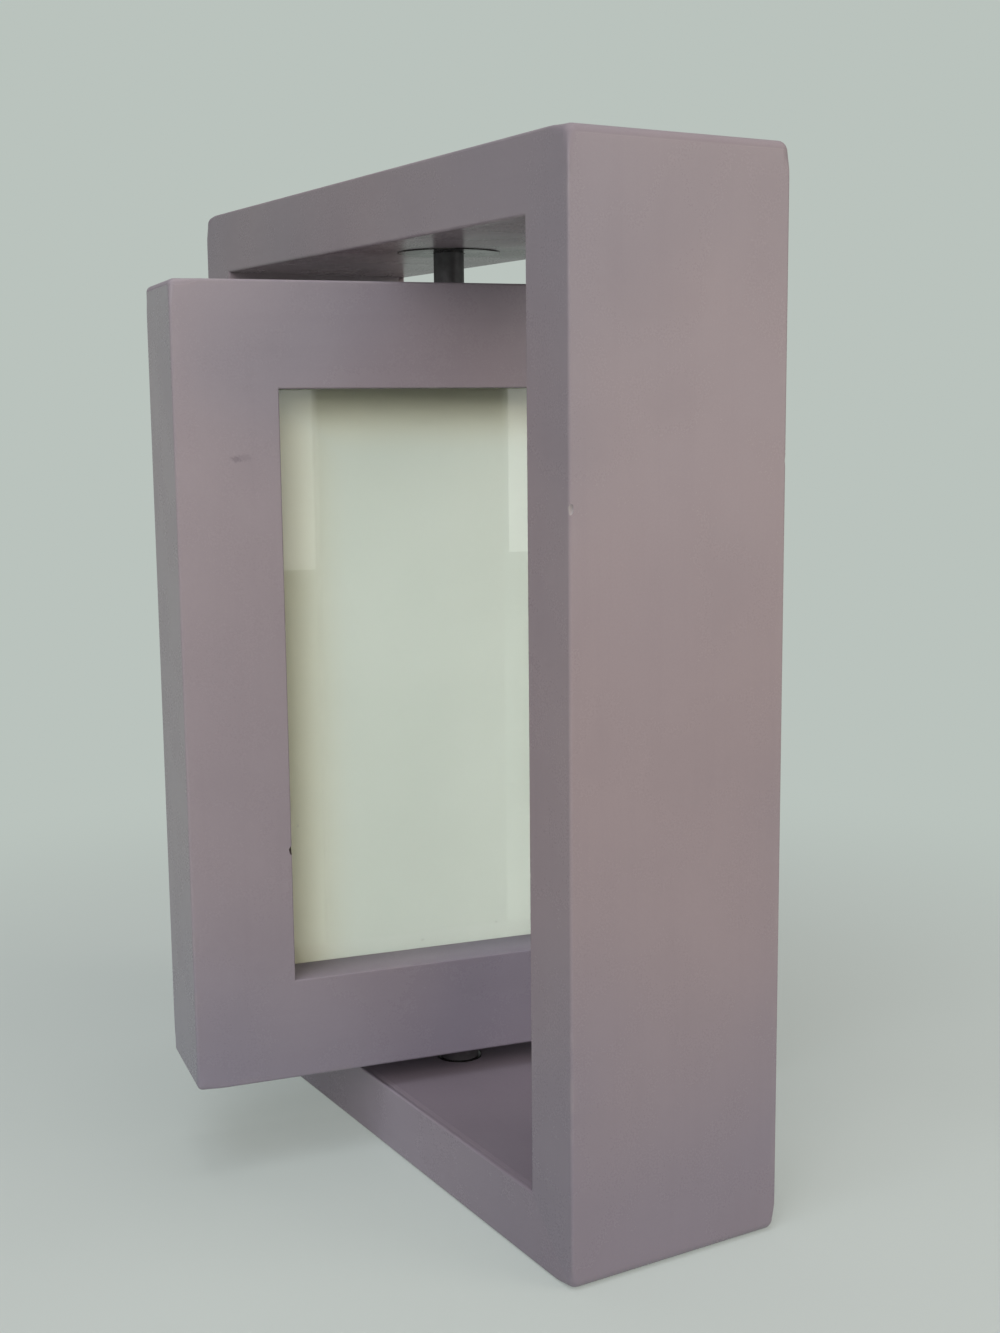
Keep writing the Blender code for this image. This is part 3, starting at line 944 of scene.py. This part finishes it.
_, top, rim = ends_of(on_axis, "thrust_washer", 1)
foot = boards_low.z + box_ring.face - pivot.z + TOUCH_GAP
middle = (foot + top) / 2
outline = [(bore, middle), (bore, foot), (rim, foot), (rim, top), (bore, top), (bore, middle)]
ring_of_nylon = spun(eased(outline, WASHER_EASE))
washer = placed("nylon_thrust_washer", ring_of_nylon, [black_nylon], on_axis)
print(washer.name, f"{2000 * rim:.1f} mm across, {1000 * (top - foot):.1f} mm thick")

# %% [markdown]
# ## The glazing
#
# Each pane is a thin clear sheet. Real refraction would be exact, but light through
# glass on its way to the paper is slow to render and comes out noisy. The usual cure
# is to let lamps shine straight through: for a shadow ray the pane is a plain
# transparent sheet, and for the eye it stays polished, with its own reflections.
# Fingers have left faint smears, which show only in those. The paper behind is felted
# from fibres, and its outer centimetre or two by the top and the sides is painted a
# warmer yellow, which stands in for the warm light in the shade of the lip.

# %% A clear sheet
PANE_TINT = (0.98, 0.992, 0.986, 1.0)
PASSED_LIGHT = (0.95, 0.965, 0.957, 1.0)


def clear_sheet(name):
    """A polished clear sheet that lamps shine through."""
    plain = {"IOR": 1.49, "Transmission_Weight": 1.0, "Base_Color": PANE_TINT}
    material, shader, places = new_finish(name, **plain)
    smears = noise(stretched(places, (60, 60, 25)), 1, 4, 0.6)
    fed(shader, Roughness=fade(smears, 0.5, 0.75, 0.004, 0.05))
    passing = added(places, "ShaderNodeBsdfTransparent", Color=PASSED_LIGHT)
    path = added(places, "ShaderNodeLightPath")
    show_either(path.outputs["Is Shadow Ray"], shader, passing)
    return material


polished_sheet = clear_sheet("clear_sheet")
print("sheet finish:", polished_sheet.name)

# %% Paper and card
window_x = photo_ring.width / 2 - photo_ring.face
window_z = photo_ring.height / 2 - photo_ring.face
# Painted warm shade: how far in from the lips the paper turns yellower.
SHADE_TINT_FROM = window_x - 0.017
SHADE_TINT_UP_FROM = window_z - 0.014
SPECK_TONE = (0.22, 0.20, 0.17)
# Place on the paper, size and strength
SPECKS = (
    ((-0.0082, -0.0017, -0.0557), (0.0006, 0.0010, 0.0003), 0.55),
    ((0.0082, -0.0017, -0.0538), (0.0004, 0.0010, 0.0003), 0.55),
    ((-0.0340, -0.0017, -0.0290), (0.0003, 0.0010, 0.0004), 0.55),
)


def pulp(name, light, dark, specks, roughness, shade_tint=None):
    """Paper or card: felted fibres, slow clouds, a few dark specks and a painted warm shade tint
    by the edges.
    """
    material, shader, places = new_finish(name)
    clouds = noise(places, 45)
    fibres = noise(stretched(places, (2200, 2200, 5200)), 1, 3, 0.65)
    tone = blended(fade(clouds), light, dark)
    shadow = tuple(0.6 * c for c in dark)
    tone = blended(fade(fibres, 0.35, 0.75, 0.0, 0.06), tone, shadow)
    # Painted warm shade: yellower towards the top and the sides of the window.
    if shade_tint:
        apart = along_axes(places)
        across = fade(sums("ABSOLUTE", apart["X"]), SHADE_TINT_FROM, window_x)
        upward = fade(apart["Z"], SHADE_TINT_UP_FROM, window_z)
        tone = blended(sums("MAXIMUM", across, upward), tone, shade_tint)
    tone = marked(tone, places, specks, SPECK_TONE, 5000, 2, 0.3)
    dull = wavering(fibres, roughness, 0.08)
    fed(shader, Base_Color=tone, Roughness=dull, Normal=bump(fibres, 0.000006))
    return material


# The last tone is the painted warm shade by the lips.
cream_paper = pulp(
    "cream_paper", (0.735, 0.800, 0.722), (0.712, 0.778, 0.698), SPECKS,
    roughness=0.75, shade_tint=(0.76, 0.74, 0.56),
)
grey_card = pulp("grey_card", (0.47, 0.45, 0.42), (0.41, 0.39, 0.36), (), roughness=0.9)
print("pulp finishes:", cream_paper.name, grey_card.name)


# %% Cut the sheets
def slab(low, high, corner, ease):
    """A flat standing sheet with rounded corners and eased edges."""
    bm = bmesh.new()
    bm.verts.layers.float.new("wear")
    centre = (low + high) / 2
    half = (high - low) / 2
    loops = []
    for inset, y in ((ease, low.y), (0.0, low.y + ease), (0.0, high.y - ease), (ease, high.y)):
        points = rounded_loop(half.x - inset, half.z - inset, corner - inset / 2)
        shifted = [(x + centre.x, z + centre.z) for x, z in points]
        loops.append(add_loop(bm, shifted, y, 0.0))
    for first, second in zip(loops, loops[1:]):
        skin(bm, first, second)
    bm.faces.new(loops[0])
    bm.faces.new(loops[-1])
    return bm


# Finish, corner radius and eased edge
SHEETS = {
    "front_pane": (polished_sheet, 0.0010, 0.00008),
    "back_pane": (polished_sheet, 0.0010, 0.00008),
    "front_insert": (cream_paper, 0.0003, 0.00002),
    "back_insert": (cream_paper, 0.0003, 0.00002),
    "spacer_card": (grey_card, 0.0010, 0.00005),
}
sheets = {}
for node, (finish, corner, ease) in SHEETS.items():
    sheet = slab(*own_box(turning, node), corner, ease)
    sheets[node] = placed("cut_" + node, sheet, [finish], turning)
    print(sheets[node].name, [round(1000 * v, 2) for v in sheets[node].dimensions])

# %% [markdown]
# ## Knocks and chips
#
# Two small knocks have taken the paint off the upright edges of the right board, and
# one has bruised the lip beside the window. They are real bites out of the mesh, cut
# with a lump: a small ball whose points are pushed in and out by noise. Where the
# lump cut, the face takes the finish of what lies under the paint.

# %% A lump to cut with
CHIP_ROUGHNESS = 0.35
CHIP_GRAIN = 1.7


def lump(centre, size):
    """A small uneven ball to cut a chip with."""
    bm = bmesh.new()
    bmesh.ops.create_icosphere(bm, subdivisions=3, radius=1.0)
    for vert in bm.verts:
        swell = 1 + CHIP_ROUGHNESS * grain_noise.noise(vert.co * CHIP_GRAIN + centre * 1000)
        vert.co = centre + Vector(s * c * swell for s, c in zip(size, vert.co))
    return bm


print("a lump swells by up to", CHIP_ROUGHNESS, "of its size")

# %% Bite small chips out of the edges
edge_x = box_ring.width / 2
edge_y = box_ring.depth / 2
face_y = photo_ring.depth / 2
right, left = boards["right"], mouldings["left"]
# Piece, place, size, finish of the bare spot and carrier
CHIPS = (
    (right, (edge_x, -edge_y + 0.0002, 0.0365), (0.00035, 0.00065, 0.00095), undercoat, standing),
    (right, (edge_x, edge_y, 0.0432), (0.00040, 0.00040, 0.00110), undercoat, standing),
    (left, (-window_x, -face_y, -0.0310), (0.00060, 0.00070, 0.0010), dark_fibre, turning),
)
for piece, centre, size, under, carrier in CHIPS:
    before = len(piece.data.polygons)
    cut(piece, lump(Vector(centre), size), carrier, under)
    print(piece.name, "chip faces:", len(piece.data.polygons) - before)

# %% [markdown]
# ## Put every piece on the body that carries it
#
# The box frame stands still and the inner frame turns, so each piece rides on one of
# two bodies, and the built piece that it stands for is hidden. The splines stay the
# built pieces, in their beech.

# %% Ride and replace
def hand_over(piece, body, node):
    """Evens a fine piece's shading, joins it to its body and hides the built piece it stands for.
    """
    even_shading(piece)
    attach(piece, body)
    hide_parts(node)


for side, node in BOARDS.items():
    hand_over(boards[side], "outer_frame", node)
    hand_over(mouldings[side], "swivel_frame", MOULDINGS[side])
for side, height in (("top", "upper"), ("bottom", "lower")):
    hand_over(posts[side], "swivel_frame", height + "_post")
    hand_over(bushes[side], "outer_frame", height + "_bush")
hand_over(washer, "outer_frame", "thrust_washer")
for node, piece in sheets.items():
    hand_over(piece, "swivel_frame", node)

# %% [markdown]
# ## A pale floor that runs into the background
#
# The frame stands on a plain pale surface in front of a plain pale wall. A floor that
# reached the horizon would show a line there, and a curved backdrop would get in the
# way when the camera goes round. So the floor is a wide disc with a matt finish near
# the frame, where its shadow falls, and further out it fades into the colour of the
# world behind it. Only the camera, mirrors and glass see that pale floor. The light
# that it throws back on the frame comes from a second, darker tone.

# %% Make the floor
BACKDROP_TONE = (0.490, 0.545, 0.510)
MIRRORED_TONE = (0.384, 0.421, 0.394)
FLOOR_TONE_LIGHT = (0.720, 0.780, 0.752)
FLOOR_TONE_DARK = (0.698, 0.758, 0.730)
LEAST_GLOW = 0.42
FLOOR_TONE_UNSEEN = (0.56, 0.60, 0.59)
FLOOR_RADIUS = 6.0
FLOOR_DROP = 0.0001
FADE_OUT = (0.10, 0.33)


def seen_directly(socket):
    """1 for the camera, mirrors and glass, 0 for the light that objects give each other."""
    path = added(socket, "ShaderNodeLightPath").outputs
    glossy = sums("MAXIMUM", path["Is Camera Ray"], path["Is Glossy Ray"])
    return sums("MAXIMUM", glossy, path["Is Transmission Ray"])


def backdrop_colour(socket):
    """The pale wall: its full tone for the camera, a little less in mirrors."""
    path = added(socket, "ShaderNodeLightPath").outputs
    return blended(path["Is Glossy Ray"], BACKDROP_TONE, MIRRORED_TONE)


def pale_floor(name):
    """A matt pale surface that fades into the backdrop with distance."""
    material, shader, places = new_finish(name, Roughness=0.9)
    seen = seen_directly(places)
    tone = blended(fade(noise(places, 9)), FLOOR_TONE_LIGHT, FLOOR_TONE_DARK)
    fed(shader, Base_Color=blended(seen, FLOOR_TONE_UNSEEN, tone))
    far = fade(vector_step("LENGTH", places), *FADE_OUT, LEAST_GLOW)
    glow = added(places, "ShaderNodeEmission", Color=backdrop_colour(places))
    show_either(sums("MULTIPLY", far, seen), shader, glow)
    return material


disc = bmesh.new()
bmesh.ops.create_circle(disc, cap_ends=True, segments=96, radius=FLOOR_RADIUS)
just_below = Matrix.Translation((0, 0, -FLOOR_DROP))
floor = placed("pale_floor", disc, [pale_floor("pale_floor")], just_below)
print("floor", 2 * FLOOR_RADIUS, "m across")

# %% [markdown]
# ## Soft window light
#
# The light on the real frame tells where it comes from. The paper is dark for some
# millimetres under the top lip and brightens up to about a centimetre down, so most
# light falls at 10 to 40 degrees from above. Two pale bands stand in the pane and end
# at the same height: they mirror bright upright shapes beside the camera. So two
# upright panels stand on the right, and their edges make the bands. Six square
# windows to the right, in front and above, a metre off, give the soft light itself:
# warm from the right, cooler from the front and from high up. Each was matched to how
# light each side of the frame is, and the world fills in the rest. A panel's
# brightness is that of its surface, where 1 is white.

# %% Hang the soft panels
PANEL_X = 0.90
HEART = (0.0, 0.0, 0.10)
WINDOW_SIZE = (0.5, 0.5)


def soft_panel(name, centre, size, aim, brightness, colour):
    """A rectangular lamp of a given surface brightness that shines towards a point."""
    data = bpy.data.lights.new(name, "AREA")
    data.shape = "RECTANGLE"
    data.size, data.size_y = size
    data.energy = brightness * math.pi * size[0] * size[1]
    data.color = colour
    panel = bpy.data.objects.new(name, data)
    bpy.context.scene.collection.objects.link(panel)
    panel.location = centre
    panel.rotation_mode = "QUATERNION"
    panel.rotation_quaternion = (Vector(aim) - Vector(centre)).to_track_quat("-Z", "Y")
    panel.visible_camera = False
    return panel


def upright_panel(name, left, right, foot, top, brightness, colour):
    """A panel square to the X axis, between two edges and two heights."""
    centre = Vector((PANEL_X, (left + right) / 2, (foot + top) / 2))
    aim = centre - Vector((1, 0, 0))
    return soft_panel(name, centre, (right - left, top - foot), aim, brightness, colour)


upright_panel("near_band", -0.30, 0.0723, 0.034, 0.30, 0.96, (1.0, 1.0, 0.98))
upright_panel("far_band", 0.2035, 0.85, 0.043, 0.30, 1.25, (1.0, 1.0, 0.98))
# Direction and height in degrees, brightness and colour
WINDOWS = (
    ("window", 42, 24, 3.1, (1.0, 0.965, 0.98)),
    ("front_window", 75, 24, 0.68, (0.82, 0.88, 0.97)),
    ("side_window", 0, 24, 1.2, (1.0, 0.82, 0.66)),
    ("warm_window", -35, 27, 2.4, (1.0, 0.88, 0.79)),
    ("high_window", 60, 58, 2.6, (0.88, 0.93, 1.0)),
    ("ceiling", 0, 88, 2.7, (1.0, 0.99, 0.985)),
)
for name, azimuth, elevation, brightness, colour in WINDOWS:
    around, up = math.radians(azimuth), math.radians(elevation)
    level = math.cos(up)
    away = Vector((level * math.cos(around), -level * math.sin(around), math.sin(up)))
    soft_panel(name, Vector(HEART) + away, WINDOW_SIZE, HEART, brightness, colour)

# %% [markdown]
# ## The world
#
# The world does two jobs with two colours. For the camera, mirrors and glass it is
# the pale wall, a little darker in mirrors, and for all other light it is an even,
# slightly cool fill.

# %% Light the world
FILL_TONE = (1.0, 0.955, 0.985, 1.0)
FILL_STRENGTH = 0.13

world = bpy.data.worlds.new("pale_room")
world.use_nodes = True
bpy.context.scene.world = world
fill = fed(world.node_tree.nodes["Background"], Color=FILL_TONE, Strength=FILL_STRENGTH)
here = fill.inputs["Color"]
wall = added(here, "ShaderNodeBackground", Color=backdrop_colour(here))
show_either(seen_directly(here), fill, wall, "World Output")
bpy.context.scene.view_settings.view_transform = "Standard"
print("fill", FILL_STRENGTH, "of white")

# %% [markdown]
# ## The built box
#
# The fine pieces have to stay inside the built box.
